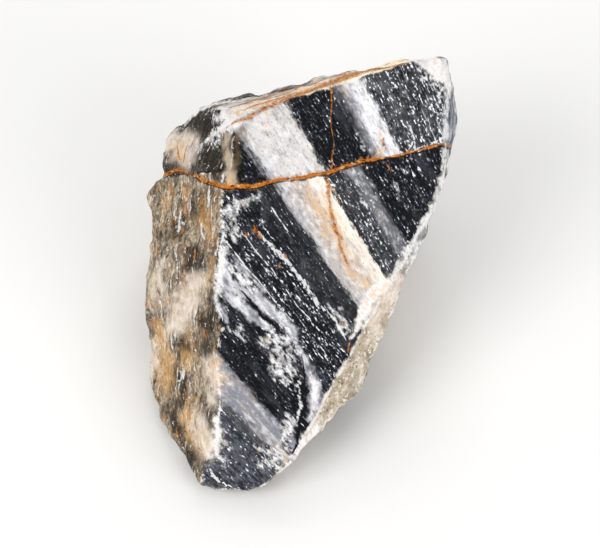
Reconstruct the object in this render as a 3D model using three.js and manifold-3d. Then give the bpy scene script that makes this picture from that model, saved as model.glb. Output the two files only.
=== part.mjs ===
// Aquascaping rock: one broken piece of banded marble that lies on its flat base.
// Millimetres, +Z up. The origin is on the table, under the middle of the stone.

import * as THREE from 'three';
import { TessellateModifier } from 'three/addons/modifiers/TessellateModifier.js';
import { mergeVertices } from 'three/addons/utils/BufferGeometryUtils.js';
import Module from 'manifold-3d';

const HEART = new THREE.Vector3(7, -5, 34);   // point inside the stone that every face looks away from
const BLANK = 400;                            // side of the rough cube that the faces are cut from
const LONGEST_SIDE = 6.8;                     // longest triangle side on the finished surface
const BED_NORMAL = [0.82, 0.48, 0.31];        // direction across the marble's beds

// Each face of the stone is flat before weathering. Heading is the compass direction it looks to, 0 toward +X
// and 90 toward +Y; rise is how far it looks above the horizon; at is a point it passes through.
// Lump and ledge say how much of the broad waviness and of the stepped beds shows on it.
const BODY = [
  { name: 'base', heading: 0, rise: -90, at: [0, 0, 0], lump: 0, ledge: 0 },
  { name: 'banded face', heading: -90, rise: 57, at: [1, -25, 46], lump: 0.5, ledge: 0.25 },
  { name: 'nose', heading: -97, rise: 47, at: [-16, -58.5, 24.5], lump: 0.6, ledge: 0.3 },
  { name: 'weathered face', heading: -158.5, rise: 31.5, at: [-38, -14.5, 40.5], lump: 0.9, ledge: 0.3 },
  { name: 'left flank', heading: 172, rise: -14, at: [-57.5, 1.5, 19.5], lump: 0.7, ledge: 0.5 },
  { name: 'toe left', heading: -160, rise: -29, at: [-50.4, -45.2, 3.8], lump: 0.8, ledge: 0.5 },
  { name: 'toe mid', heading: -141, rise: -31, at: [-41.5, -69.7, 5.2], lump: 0.8, ledge: 0.5 },
  { name: 'toe', heading: -93, rise: -48, at: [-23, -81.8, 9.5], lump: 0.6, ledge: 0.3 },
  { name: 'toe right', heading: -58, rise: -41, at: [-11, -76, 9], lump: 0.5, ledge: 0.2 },
  { name: 'lower bevel', heading: -45, rise: 20, at: [21.5, -33.5, 41], lump: 0.6, ledge: 0.25 },
  { name: 'undercut low', heading: -39, rise: -33, at: [6.5, -60, 17.5], lump: 0.5, ledge: 0.25 },
  { name: 'undercut mid', heading: -12, rise: -20, at: [34.6, -21.1, 41.8], lump: 0.5, ledge: 0.3 },
  { name: 'upper bevel', heading: -33, rise: 20, at: [49.1, 12.1, 71.3], lump: 0.4, ledge: 0.2 },
  { name: 'right brow', heading: -8, rise: 9, at: [54.5, 41.6, 76.9], lump: 0.4, ledge: 0.25 },
  { name: 'right flank', heading: 6, rise: -12, at: [60.4, 40.3, 65.4], lump: 0.8, ledge: 0.5 },
  { name: 'back right', heading: 28, rise: -6, at: [56.4, 57, 44.9], lump: 1.2, ledge: 1 },
  { name: 'back slope', heading: 97, rise: 27, at: [5.6, 58.6, 77.5], lump: 0.8, ledge: 0.45 },
  { name: 'back wall', heading: 82, rise: 2, at: [13.5, 68, 40], lump: 1.3, ledge: 1.1 },
  { name: 'back left', heading: 134, rise: 6, at: [-42.9, 62.9, 40.2], lump: 1.2, ledge: 0.9 },
];

// In front of the crack the stone ends at the fracture and at a small ledge on the left.
const FRONT = [
  { name: 'ledge', heading: 144, rise: 24, at: [-55.4, 35.2, 41.9], lump: 0.6, ledge: 0.3 },
  { name: 'fracture', heading: 93, rise: 40, at: [14, 18, 74], lump: 0, ledge: 0 },
];

// Behind the crack it goes on a little lower, with a knob on the left and a crest along the top.
const REAR = [
  { name: 'upper face', heading: -92, rise: 62, at: [14, 18, 74], lump: 0.5, ledge: 0.25 },
  { name: 'knob face', heading: -172.5, rise: 38.5, at: [-34.5, 29.5, 65], lump: 0.9, ledge: 0.4 },
  { name: 'knob flank', heading: 180, rise: -14, at: [-51.1, 46.5, 45.5], lump: 1, ledge: 0.6 },
  { name: 'knob shoulder', heading: 122, rise: 33, at: [-47.4, 59.4, 56.4], lump: 0.6, ledge: 0.3 },
  { name: 'crest', heading: 119, rise: 56, at: [6.3, 48.2, 84.8], lump: 0.3, ledge: 0.15 },
  { name: 'corner chip', heading: 30, rise: 50, at: [52, 53.9, 94.9], lump: 0.4, ledge: 0.2 },
];

// Broad waves of the surface: direction, wavelength, height and where the wave starts.
const LUMPS = [
  { along: [0.6, 0.5, -0.6], length: 52, height: 0.9, start: 0.4 },
  { along: [-0.5, 0.7, 0.5], length: 39, height: 0.8, start: 2.1 },
  { along: [0.7, -0.2, 0.7], length: 29, height: 0.6, start: 4.0 },
  { along: [0.2, 0.8, -0.5], length: 23, height: 0.4, start: 1.2 },
];

// Beds that stand proud of their neighbours: place across the beds, half thickness and height.
const LEDGES = [
  { place: -58, half: 6, height: 1.6 },
  { place: -38, half: 8, height: 2.2 },
  { place: -17, half: 4, height: 1.4 },
  { place: 2, half: 7, height: 1.8 },
  { place: 26, half: 9, height: 2.2 },
  { place: 47, half: 5, height: 1.5 },
  { place: 66, half: 8, height: 2.4 },
  { place: 86, half: 5, height: 1.6 },
];
const LEDGE_RUN = 3;                          // width of the slope at each side of a proud bed

const wasm = await Module();
wasm.setup();

function outward(heading, rise) {
  const h = THREE.MathUtils.degToRad(heading);
  const r = THREE.MathUtils.degToRad(rise);
  return new THREE.Vector3(Math.cos(h) * Math.cos(r), Math.sin(h) * Math.cos(r), Math.sin(r));
}

function prepare(face) {
  const normal = outward(face.heading, face.rise);
  const point = new THREE.Vector3(...face.at);
  return { ...face, normal, point, gap: normal.dot(point.clone().sub(HEART)) };
}

function wave(p, along, length, start) {
  return Math.sin((p.x * along[0] + p.y * along[1] + p.z * along[2]) * 2 * Math.PI / length + start);
}

// Place of a point across the beds, with the beds' own slow folding.
function bedPlace(p) {
  const straight = p.x * BED_NORMAL[0] + p.y * BED_NORMAL[1] + p.z * BED_NORMAL[2];
  return straight + 2.5 * wave(p, [0.3, -0.7, 0.6], 74, 0.4) + 1.2 * wave(p, [-0.6, 0.3, 0.7], 35, 2);
}

// Broad waviness of the surface, in millimetres.
function lumps(p) {
  return LUMPS.reduce((sum, l) => sum + l.height * wave(p, l.along, l.length, l.start), 0);
}

// Stepped profile of the beds, in millimetres, about a mean of zero.
function ledges(p) {
  const place = bedPlace(p);
  let height = -0.8;
  for (const bed of LEDGES) {
    const off = Math.abs(place - bed.place) - bed.half;
    height += bed.height * (1 - THREE.MathUtils.smoothstep(off, -LEDGE_RUN / 2, LEDGE_RUN / 2));
  }
  return height;
}

function toSolid(geometry) {
  const bare = geometry.clone();
  bare.deleteAttribute('normal');
  bare.deleteAttribute('uv');
  const welded = mergeVertices(bare, 1e-4);
  return new wasm.Manifold(new wasm.Mesh({
    numProp: 3,
    vertProperties: new Float32Array(welded.attributes.position.array),
    triVerts: new Uint32Array(welded.index.array),
  }));
}

function toGeometry(solid) {
  const mesh = solid.getMesh();
  const geometry = new THREE.BufferGeometry();
  geometry.setAttribute('position', new THREE.BufferAttribute(mesh.vertProperties, 3));
  geometry.setIndex(new THREE.BufferAttribute(mesh.triVerts, 1));
  return geometry;
}

// The waste that lies beyond a face: a cube with one side on that face.
function waste(face) {
  const cube = new THREE.BoxGeometry(2 * BLANK, 2 * BLANK, 2 * BLANK);
  cube.translate(0, 0, BLANK);
  const turn = new THREE.Quaternion().setFromUnitVectors(new THREE.Vector3(0, 0, 1), face.normal);
  cube.applyQuaternion(turn);
  cube.translate(face.point.x, face.point.y, face.point.z);
  return toSolid(cube);
}

// A rough cube with the waste beyond each face broken away.
function breakToFaces(faces) {
  const blank = toSolid(new THREE.BoxGeometry(BLANK, BLANK, BLANK));
  return faces.reduce((stone, face) => stone.subtract(waste(face)), blank);
}

// How far a ray from the heart goes, as a share of its own length, before it leaves a block.
function reach(block, ray, waviness, steps) {
  let least = Infinity;
  for (const face of block) {
    const toward = face.normal.dot(ray);
    if (toward > 1e-6) {
      const height = face.lump * waviness + face.ledge * steps;
      least = Math.min(least, (face.gap + height) / toward);
    }
  }
  return least;
}

// Moves every point of the flat-faced stone out or in along its ray from the heart, by the surface's relief.
function weather(geometry, blocks) {
  const position = geometry.attributes.position;
  const p = new THREE.Vector3();
  const ray = new THREE.Vector3();
  for (let i = 0; i < position.count; i += 1) {
    p.fromBufferAttribute(position, i);
    ray.subVectors(p, HEART);
    const waviness = lumps(p);
    const steps = ledges(p);
    const share = Math.max(...blocks.map((block) => reach(block, ray, waviness, steps)));
    p.copy(HEART).addScaledVector(ray, share);
    position.setXYZ(i, p.x, p.y, Math.max(p.z, 0));
  }
  position.needsUpdate = true;
}

const blocks = [[...BODY, ...FRONT].map(prepare), [...BODY, ...REAR].map(prepare)];
const flatFaced = blocks.map(breakToFaces).reduce((stone, block) => stone.add(block));
const fine = new TessellateModifier(LONGEST_SIDE, 24).modify(toGeometry(flatFaced));
const surface = mergeVertices(fine, 1e-4);
weather(surface, blocks);
surface.computeVertexNormals();

const marble = new THREE.MeshStandardMaterial({ color: '#5a5753', roughness: 0.7, metalness: 0 });
marble.flatShading = true;
const rock = new THREE.Mesh(surface, marble);
rock.name = 'rock';

const group = new THREE.Group();
group.name = 'aquascaping rock';
group.add(rock);

export default group;
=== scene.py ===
import math

import bpy
import numpy as np
from bpy.props import FloatProperty, FloatVectorProperty, IntProperty, PointerProperty, StringProperty
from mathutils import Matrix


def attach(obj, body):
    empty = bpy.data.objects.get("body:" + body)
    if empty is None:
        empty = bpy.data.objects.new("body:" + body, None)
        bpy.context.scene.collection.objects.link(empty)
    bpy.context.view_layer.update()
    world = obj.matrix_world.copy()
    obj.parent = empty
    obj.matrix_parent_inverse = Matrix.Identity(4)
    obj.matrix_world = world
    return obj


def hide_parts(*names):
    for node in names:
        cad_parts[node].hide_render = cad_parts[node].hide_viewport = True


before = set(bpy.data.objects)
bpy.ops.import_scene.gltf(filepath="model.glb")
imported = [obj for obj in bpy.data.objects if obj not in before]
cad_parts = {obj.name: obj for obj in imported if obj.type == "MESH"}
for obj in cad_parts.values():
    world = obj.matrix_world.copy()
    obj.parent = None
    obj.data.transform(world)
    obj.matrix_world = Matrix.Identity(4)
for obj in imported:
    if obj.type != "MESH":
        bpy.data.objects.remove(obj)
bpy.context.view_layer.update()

bl_info = {
    "name": "Aquascaping rock",
    "version": (1, 0, 0),
    "blender": (4, 5, 0),
    "location": "View3D > Sidebar > Rock",
    "description": "A broken piece of banded black and white marble on a pale studio floor",
    "category": "Add Mesh",
}

# All lengths of the stone are in millimetres and are brought to metres when the mesh is made.
MM = 0.001
HEART = np.array([7.0, -5.0, 34.0])  # point inside the stone that every face looks away from
STRETCH = np.array([58.0, 78.0, 46.0])  # rough half sizes, so the grid's rows are spread evenly
SLOPE = math.radians(33.0)  # slope of the banded front face
FACE_HEIGHT = 52.0  # height of that face over the origin, measured out of the slope
SHARP = 0.9  # faces whose normals' product is less meet in an edge
CHIP_RUN = 1.6  # how far from an edge its chips reach

BED_HINGE = np.array([205.0, -270.0])  # far point that the beds fan out from, on the slope
BED_DIP = 0.25  # sideways lean of the beds with depth
BED_LOW = -80.0  # place across the beds where their ramps start
BED_SPAN = 170.0  # how far the ramps go on from there
FEATHER = 5.0  # how far feathering moves the border of a bed
CRYSTAL = 3.2  # how far single crystals move it
CREST_TURN = -0.21  # turn of the crest's runs on the slope, in radians
CREST_WIDTH = 20.0  # width of the crest's runs, from the edge of the front face

CRACK_WANDER = 0.35  # how far noise moves the rusty crack
LINE_WANDER = 0.6  # the same for thin lines, milky patches and quartz
WASH_WANDER = 1.2  # the same for the other marks
MARK_FLOOR = 12.0  # below this height out of the slope the marks fade
THINNEST = 0.12  # least half width of a line
LINE_HALF = 0.35  # half width that the finish gives to a thin line
LINE_END = 0.6  # how far it runs on past its rim
FAR_MARK, FAR_SIDE, FAR_ZONE, FAR_EDGE = 60.0, 400.0, 40.0, 1000.0  # distances that stand for none near

# Multipliers that turn a lattice's corners and a seed into random numbers.
LATTICE_MIX = np.array([374761393, 668265263, 2147483647])
SEED_MIX = 1274126177

FLOOR_HALF = 3000.0  # half the floor's side
FLOOR_DROP = 0.05  # how far the floor lies under the stone
LIGHT_SIZE = 0.6  # side of each square light, in metres
LIGHT_AIM = np.array([0, 0, 0.04])  # point that the lights look at, in metres
SENSOR = 36.0  # width of the camera's picture behind its lens

# Flat faces before weathering: heading (0 looks to +X, 90 to +Y), rise above the horizon, a point on it,
# share of broad lumps, share of stepped beds, fine roughness in mm, and the zone whose finish it wears.
BODY = (
    (0, -90, (0, 0, 0), 0, 0, 0, "rear"),  # base
    (-90, 57, (1, -25, 46), 0.5, 0.25, 0.22, "front"),  # banded face
    (-97, 47, (-16, -58.5, 24.5), 0.6, 0.3, 0.3, "front"),  # nose
    (-158.5, 31.5, (-38, -14.5, 40.5), 0.9, 0.3, 0.45, "coat"),  # weathered face
    (172, -14, (-57.5, 1.5, 19.5), 0.7, 0.5, 0.5, "coat"),  # left flank
    (-160, -29, (-50.4, -45.2, 3.8), 0.8, 0.5, 0.7, "coat"),  # toe left
    (-141, -31, (-41.5, -69.7, 5.2), 0.8, 0.5, 0.7, "coat"),  # toe mid
    (-93, -48, (-23, -81.8, 9.5), 0.6, 0.3, 0.6, "rear"),  # toe
    (-58, -41, (-11, -76, 9), 0.5, 0.2, 0.6, "rear"),  # toe right
    (-45, 20, (21.5, -33.5, 41), 0.6, 0.25, 0.35, "bevel"),  # lower bevel
    (-39, -33, (6.5, -60, 17.5), 0.5, 0.25, 0.5, "rear"),  # undercut low
    (-12, -20, (34.6, -21.1, 41.8), 0.5, 0.3, 0.5, "rear"),  # undercut mid
    (-33, 20, (49.1, 12.1, 71.3), 0.4, 0.2, 0.3, "bevel"),  # upper bevel
    (-8, 9, (54.5, 41.6, 76.9), 0.4, 0.25, 0.4, "bevel"),  # right brow
    (6, -12, (60.4, 40.3, 65.4), 0.8, 0.5, 0.5, "rear"),  # right flank
    (28, -6, (56.4, 57, 44.9), 1.2, 1, 0.7, "rear"),  # back right
    (97, 27, (5.6, 58.6, 77.5), 0.8, 0.45, 0.6, "rear"),  # back slope
    (82, 2, (13.5, 68, 40), 1.3, 1.1, 0.7, "rear"),  # back wall
    (134, 6, (-42.9, 62.9, 40.2), 1.2, 0.9, 0.7, "rear"),  # back left
)

# In front of the rusty crack the stone ends at the fracture and at a small ledge on the left.
BEFORE_CRACK = (
    (144, 24, (-55.4, 35.2, 41.9), 0.6, 0.3, 0.6, "coat"),  # ledge
    (93, 40, (14, 18, 74), 0, 0, 0.2, "front"),  # fracture
)

# Behind the crack it goes on a little lower, with a knob on the left and a crest along the top.
BEHIND_CRACK = (
    (-92, 62, (14, 18, 74), 0.5, 0.25, 0.22, "front"),  # upper face
    (-172.5, 38.5, (-34.5, 29.5, 65), 0.9, 0.4, 0.5, "knob"),  # knob face
    (180, -14, (-51.1, 46.5, 45.5), 1, 0.6, 0.7, "knob"),  # knob flank
    (122, 33, (-47.4, 59.4, 56.4), 0.6, 0.3, 0.5, "crest"),  # knob shoulder
    (119, 56, (6.3, 48.2, 84.8), 0.3, 0.15, 0.35, "crest"),  # crest
    (30, 50, (52, 53.9, 94.9), 0.4, 0.2, 0.4, "crest"),  # corner chip
)
ZONES = ("front", "coat", "knob", "bevel", "crest", "rear")

# Broad waves of the surface: direction, wavelength, height and where the wave starts.
LUMPS = (
    ((0.6, 0.5, -0.6), 52, 0.9, 0.4),
    ((-0.5, 0.7, 0.5), 39, 0.8, 2.1),
    ((0.7, -0.2, 0.7), 29, 0.6, 4.0),
    ((0.2, 0.8, -0.5), 23, 0.4, 1.2),
)

# Slow folding of the beds where they stand as ledges, as such waves.
FOLDS = (
    ((0.3, -0.7, 0.6), 74, 2.5, 0.4),
    ((-0.6, 0.3, 0.7), 35, 1.2, 2),
)

# Beds that stand proud of their neighbours: place across the beds, half thickness and height.
LEDGES = (
    (-58, 6, 1.6), (-38, 8, 2.2), (-17, 4, 1.4), (2, 7, 1.8),
    (26, 9, 2.2), (47, 5, 1.5), (66, 8, 2.4), (86, 5, 1.6),
)
LEDGE_RUN = 3.0  # width of the slope at each side of a proud bed
LEDGE_FLOOR = -0.8  # height of the others, so that the mean is about zero
LEDGE_NORMAL = np.array([0.82, 0.48, 0.31])  # direction across the ledges

# Noises of the surface: stretch of the place, size, seed and height. Thin layers in the beds, the broken
# surface, flutes down the slope, and what is bitten out of the edges.
LAYERS = (((0.12, 1, 0.2), 2.6, 3, 0.45), ((0.2, 1, 0.3), 1.3, 4, 0.27))
BROKEN = (((1, 1, 1), 7.0, 11, 1.0), ((1, 1, 1), 3.4, 12, 0.6), ((1, 1, 1), 1.7, 13, 0.4))
FLUTES = (((1, 0.15, 1), 3.0, 21, 0.7),)
BITES = (((1, 1, 1), 4.5, 31, 0.7), ((1, 1, 1), 2.0, 32, 0.5))

# Marks on the sloping side, each a line of points (across, up the slope, half width). They follow what water,
# iron and breaking did to the stone; a mark's border is roughened later by the finish.
RUSTY_CRACK = (
    ((-70, 57, 0.4), (-52, 58, 0.6), (-46.5, 58.9, 0.7), (-41.9, 56, 0.4), (-36.8, 51.7, 0.45),
     (-28, 47.8, 0.7), (-19, 48, 0.65), (-7.3, 50.4, 0.55), (3, 51.8, 0.7), (9, 52.7, 0.6), (21, 57, 0.5),
     (33.5, 58.8, 0.35), (42, 61, 0.28), (52, 64, 0.22), (70, 69, 0.22)),
)
RUST_RUNS = (
    ((-25.3, 71.2, 0.3), (-19.2, 73.8, 0.5), (-13.8, 76.6, 0.5), (-6, 80.8, 0.6), (2.7, 84.6, 0.8),
     (11, 87.8, 0.9), (15.3, 90, 1.3), (23, 92.1, 0.6), (31, 93, 0.3), (44, 94.5, 0.15)),
    ((-21, 77.5, 0.2), (-12, 80.5, 0.4), (-2, 84.3, 0.3)),
    ((10.8, 87, 0.2), (11, 74, 0.13), (11.6, 63, 0.13), (10.8, 54, 0.25)),
    ((8.7, 51, 0.5), (9.6, 46, 0.4), (10.4, 42.5, 0.5)), ((10.6, 41, 0.3), (11.3, 35.2, 0.5)),
    ((11.8, 33.5, 0.55), (12.6, 30, 0.3)), ((12.4, 31, 0.2), (14.6, 28.5, 0.15)),
    ((13.2, 29, 0.2), (15, 23, 0.35), (17, 19, 0.2)), ((-47.5, 68.2, 0.12), (-46.3, 63, 0.2)),
    ((-43.3, 67.8, 0.12), (-44.2, 62.3, 0.2)), ((-16.9, 32.3, 0.5), (-16.4, 31.5, 0.5)),
    ((-15.1, 29.8, 0.35), (-14.7, 29.1, 0.3)), ((-20.4, 30.5, 0.35), (-20.1, 30, 0.3)),
    ((-6.1, 22.5, 0.3), (-5.9, 22, 0.3)), ((-7.9, 18.3, 0.35), (-7.6, 17.8, 0.3)),
    ((30.5, 64.5, 0.5), (31, 62.5, 0.4)), ((31.5, 55, 0.16), (32.5, 52.2, 0.12)),
    ((17.4, -9.5, 0.12), (16.6, -12.5, 0.14)), ((-26, 80, 0.12), (-14, 83.4, 0.25), (-4, 86.6, 0.15)),
    ((-42.4, 51.5, 0.25), (-42.1, 46.5, 0.2)),
    ((-36.1, 44.3, 0.25), (-35.6, 40, 0.35), (-35.4, 37.1, 0.2)),
    ((-30.3, 30.4, 0.15), (-31.5, 24.3, 0.25)), ((-48.3, 39.7, 0.12), (-48, 32.4, 0.16)),
    ((-54.4, 29, 0.3), (-53.8, 27.4, 0.25)), ((-49, 52.5, 0.16), (-48.3, 47.6, 0.16)),
    ((-43, 45, 0.16), (-42.9, 39, 0.25)),
)
WHITE_VEINS = (
    ((-28.6, 37.9, 0.7), (-25.1, 40.1, 1.0), (-20.8, 42.3, 0.8), (-15.6, 45.2, 0.4)),
    ((-28.6, 34, 0.2), (-28.8, 26, 0.3), (-29.3, 18, 0.6), (-29.6, 10, 0.6), (-30.3, 3, 0.2)),
    ((-30.2, -18, 0.3), (-29.4, -28, 0.4)), ((-28.6, -45.6, 0.6), (-27, -47, 0.3)),
    ((-26.8, 19.8, 0.5), (-22.5, 15.6, 0.6), (-18.2, 10.4, 0.3)),
    ((-7.5, -3.6, 0.3), (-2.2, -8.8, 0.4), (0, -13.1, 0.3)), ((-1, -50.5, 0.8), (-4, -54, 0.8)),
    ((-7.5, -16.8, 0.7), (-8.6, -21.5, 0.9)), ((-4.8, -18.5, 0.5), (-3.2, -20, 0.5)),
    ((-1.1, -24.3, 0.4), (-1.5, -25, 0.3)), ((-6.4, -23.8, 0.6), (-5.6, -24.4, 0.4)),
    ((-11.3, -6.8, 0.6), (-9.1, -7.8, 0.4)), ((-14.9, -10.5, 0.5), (-13.8, -11.5, 0.4)),
    ((-23, -3.9, 0.4), (-21.2, -6.7, 0.4)), ((-26.7, -3.9, 0.5), (-25.6, -5.1, 0.4)),
    ((-4.4, -35, 0.5), (-5, -41, 0.8), (-8.5, -48, 1.0)), ((-9, -51.5, 1.2), (-13, -53, 0.7)),
    ((49.1, 76, 0.8), (51.3, 74.8, 0.8)), ((36.6, 24.5, 0.5), (38.5, 27, 0.3)),
    ((41.5, 93.5, 0.5), (46, 90, 1.0), (50, 86.5, 1.0), (52.5, 81, 0.6)),
    ((-38.2, 64.9, 0.3), (-35.5, 67.5, 0.7), (-31.9, 69.9, 1.0), (-27, 71, 1.6)),
    ((-31, 64, 0.1), (-30, 68, 0.7)), ((-33, 80, 0.4), (-31.5, 77, 0.8), (-29, 74, 1.0)),
)
MILKY_PATCHES = (
    ((-30, 80, 0.8), (-26.5, 76, 2.8), (-24.5, 71.5, 2.4), (-26, 68.5, 1.0)),
    ((-27, 72.5, 1.4), (-31.5, 69.5, 0.6), (-36, 67.5, 0.3)),
    ((-25, 78.5, 1.0), (-18, 79, 2.2), (-11, 80.8, 1.6), (-3, 83.5, 0.8)),
    ((-48, 75, 0.3), (-42.4, 80, 0.7), (-37.2, 82.5, 0.9), (-31.9, 83.6, 0.9), (-26, 84, 0.5)),
    ((40, 96.5, 0.8), (46, 95, 2.6), (51, 92.5, 4.2), (54.5, 88, 2.2), (55, 84, 0.8)),
    ((32.4, 14.5, 0.8), (29.5, 11.8, 2.2), (26, 8.5, 2.6), (23.2, 3.2, 2.2), (21.2, -1.5, 1.5),
     (19.4, -5.1, 0.8), (18, -7.5, 0.3)),
    ((2.4, -18.5, 0.3), (4, -22.5, 0.9), (5, -27.5, 1.3), (4.4, -32.5, 0.5)),
    ((6.5, -39.5, 0.8), (2.5, -45, 1.8), (-1.5, -50, 1.2)),
    ((-28.7, 25, 0.4), (-29.2, 18, 1.3), (-29.3, 13, 0.8)),
    ((-30.3, -36.5, 0.5), (-30.5, -43.5, 1.2), (-30.8, -50, 0.6)),
)
QUARTZ_STREAKS = (
    ((-28.5, 10, 1.0), (-25.4, 6.9, 1.8), (-20.6, 2.7, 1.9), (-15.8, -0.7, 1.6), (-12, -4.1, 0.9)),
    ((-23, 11.5, 0.8), (-19.1, 8, 1.7), (-13.4, 4.6, 2.0), (-8.2, -0.1, 2.0), (-4.4, -3.6, 1.5),
     (-1.5, -9.4, 0.8)),
    ((-0.6, -10.9, 0.7), (1.5, -16.3, 1.3), (3.4, -21.4, 2.0), (5.2, -26.5, 2.4), (4.6, -32, 1.6),
     (2.4, -37.5, 0.6)),
    ((-31, 8, 0.8), (-29, 2.6, 1.4), (-27.4, -1.2, 1.0)),
    ((-28.8, 24, 0.6), (-28, 17.5, 2.0), (-25.8, 12.2, 2.4), (-22.2, 9.4, 1.8)),
    ((-25.6, 23, 0.3), (-21.5, 18, 0.8), (-17, 13.1, 0.7), (-13, 9, 0.3)),
    ((20.5, 68, 0.1), (23.2, 64, 0.3), (26, 60.7, 0.6)),
)
WHITE_THREADS = (
    ((-15, 30.6, 0.25), (-11.2, 26.3, 0.46), (-6.9, 22.1, 0.55), (-1.7, 15.9, 0.46), (6.3, 5.1, 0.42),
     (10.6, 0.7, 0.44), (13.7, -3.6, 0.25), (15.8, -7.8, 0.14)),
    ((-26.8, 26.5, 0.12), (-22.5, 21.1, 0.2), (-17.3, 15.1, 0.15), (-9, 5, 0.12), (-4, -1, 0.1)),
    ((-10.3, 39.4, 0.12), (-6.8, 34.2, 0.2), (-5.2, 31.7, 0.12)),
    ((-20.8, 30.2, 0.1), (-12, 18.5, 0.15), (-5, 9.5, 0.12), (4, -3, 0.1)),
    ((-24, 16.5, 0.15), (-15, 5, 0.2), (-8, -3.5, 0.15)),
    ((-0.7, -26.8, 0.3), (-0.2, -32, 0.45), (-1.5, -37.1, 0.3)),
    ((-28.4, 30.7, 0.2), (-29.5, 23.8, 0.25), (-29.4, 15.8, 0.3), (-31, 7.4, 0.25), (-29.2, 0, 0.3)),
    ((-33, -54.3, 0.25), (-31, -57.5, 0.4), (-29.5, -59.7, 0.25)),
    ((-31.3, -12, 0.2), (-30.2, -21, 0.3), (-29.1, -29, 0.3), (-30.6, -39.4, 0.35), (-31, -49, 0.25)),
    ((54.5, 86.4, 0.2), (53.2, 75.4, 0.3), (53.2, 67.5, 0.35), (52.6, 60, 0.3), (51.3, 47.2, 0.35),
     (46, 37, 0.35), (41.3, 28.2, 0.4), (36, 18.5, 0.4), (31, 11, 0.3)),
    ((39.7, 69, 0.45), (41.1, 64.6, 0.3), (41.6, 61, 0.2)), ((-44.5, 42.5, 0.2), (-45.8, 34.8, 0.3)),
    ((-40.2, 46.6, 0.2), (-40.8, 41.9, 0.3)), ((-47, 27.6, 0.2), (-46.2, 20.7, 0.25)),
    ((-37.3, 37.8, 0.2), (-36.4, 33, 0.3), (-35.6, 29.2, 0.2)), ((-33.7, 47.4, 0.3), (-34.1, 42.4, 0.3)),
    ((35.9, 60, 0.2), (42.2, 62.4, 0.3), (47.1, 63.6, 0.3), (52.6, 66.5, 0.4)),
)
HAZE = (
    ((-26.8, 20, 1.2), (-22.5, 15.8, 1.6), (-18.2, 10.4, 1.2), (-15, 6.1, 0.6)),
    ((-28.6, 38, 0.8), (-28.2, 30, 0.5), (-29, 22, 1.0), (-29.3, 10, 1.0)),
    ((-28.6, 37.9, 1.6), (-24.5, 40.2, 1.6), (-20.8, 42.3, 1.3), (-15.6, 45.2, 0.8)),
    ((-25.9, 34, 1.0), (-24.6, 29, 1.3)), ((-12, -9.5, 1.8), (-5.5, -9, 2.6), (-2.5, -12, 1.4)),
    ((-9, -12, 1.6), (-4, -15, 2.0)), ((-10, -14, 1.6), (-8, -19.5, 3.2), (-3.6, -20.6, 2.6)),
    ((-14.6, -11, 1.0), (-11.6, -8.8, 1.4)), ((-22.5, -4.5, 1.2), (-20.5, -8, 0.8)),
    ((-4.4, -34, 1.0), (-5.5, -39, 1.8), (-4.6, -42.5, 2.2), (-7, -49.5, 3.2), (-7.5, -55, 2.4)),
    ((-16, -47.5, 1.2), (-12, -48, 2.0)), ((-29.6, -38, 0.8), (-29.5, -47, 1.2), (-27, -54, 0.8)),
    ((23.5, 62.5, 0.2), (24.5, 60.5, 0.5)),
    ((19.1, 54, 0.7), (20.5, 47.5, 0.4), (25.9, 39.4, 0.4), (30.4, 33.7, 0.3), (35, 27.3, 0.2)),
    ((33.5, 47, 0.3), (36, 43, 0.5)), ((11.5, 2.5, 1.0), (16, -3.5, 1.4)),
)
STAINS = (
    ((9.5, 47, 0.7), (11.6, 34, 2.0), (15.5, 21, 1.7), (19, 15.5, 1.3), (23, 11.5, 0.6)),
    ((3, 45, 0.3), (7, 37, 1.0), (11, 28, 1.2)), ((28.5, 66, 0.4), (29.5, 61.5, 1.0)),
    ((-25.5, 49.5, 0.6), (-24, 53, 0.3)),
    ((-24, 77, 1.4), (-18, 78.6, 3.0), (-10, 81.6, 2.8), (0, 85.2, 2.0), (15, 90, 1.0)),
    ((-31, -14, 0.4), (-30.5, -22, 0.9), (-28.2, -26, 0.5)), ((-12, 69.5, 0.2), (-11.5, 72.5, 0.4)),
    ((-48, 68, 1.4), (-45, 63, 1.8)), ((31, 13, 0.1), (26.5, 8.5, 0.3), (23, 3, 0.1)),
)
OLIVE_RUNS = (
    ((-21.6, 69.5, 1.2), (-22.9, 65.5, 1.4), (-23, 60, 0.7), (-23.4, 55, 0.2)),
)
BEIGE_RUNS = (
    ((-27.8, 66, 1.0), (-26.5, 58, 1.8), (-25.5, 49.5, 1.8)), ((15, 85.5, 0.9), (16.5, 81, 0.5)),
    ((-9, -47, 0.1), (-6, -51.5, 0.6), (-8.5, -57, 0.3)),
)
BLACK_VEINS = (
    ((0.2, -14, 0.1), (0.8, -20, 0.3), (0.4, -26.8, 0.35), (1.6, -32.1, 0.5), (-0.1, -35.8, 0.5),
     (-1.2, -40.3, 0.5), (-1.1, -46.1, 0.45), (-3.6, -49.6, 0.25)),
    ((-22, 9.4, 0.2), (-18.7, 6.1, 0.35), (-14.2, 1.1, 0.5), (-9.6, -3.7, 0.4)),
    ((-24, 85.4, 0.15), (-20, 85.9, 0.4), (-15.5, 85.4, 0.35)),
    ((-12, 85.8, 0.2), (-6, 86.6, 0.45), (-1, 88, 0.35), (4, 90.2, 0.2)),
)
PALE_WASH = (
    ((-38, 14.5, 3.4), (-42, 8.5, 5.4), (-45.5, 1.5, 5.0), (-47.5, -3, 2.4)),
    ((-38, -35, 2.0), (-36, -40.5, 3.9), (-34, -47.5, 2.8)),
    ((-49, 70, 4.6), (-45, 68.5, 5.6), (-43.5, 63.5, 4.6)),
    ((-33, -15, 1.6), (-32, -24, 2.2), (-32, -31, 1.6)), ((-53.8, 23, 1.4), (-53.5, 8, 1.8)),
    ((-56, -8, 1.2), (-55, -18, 1.4)), ((35.5, 15, 1.2), (31, 7, 2.2), (27, -1, 1.6)),
)
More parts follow.
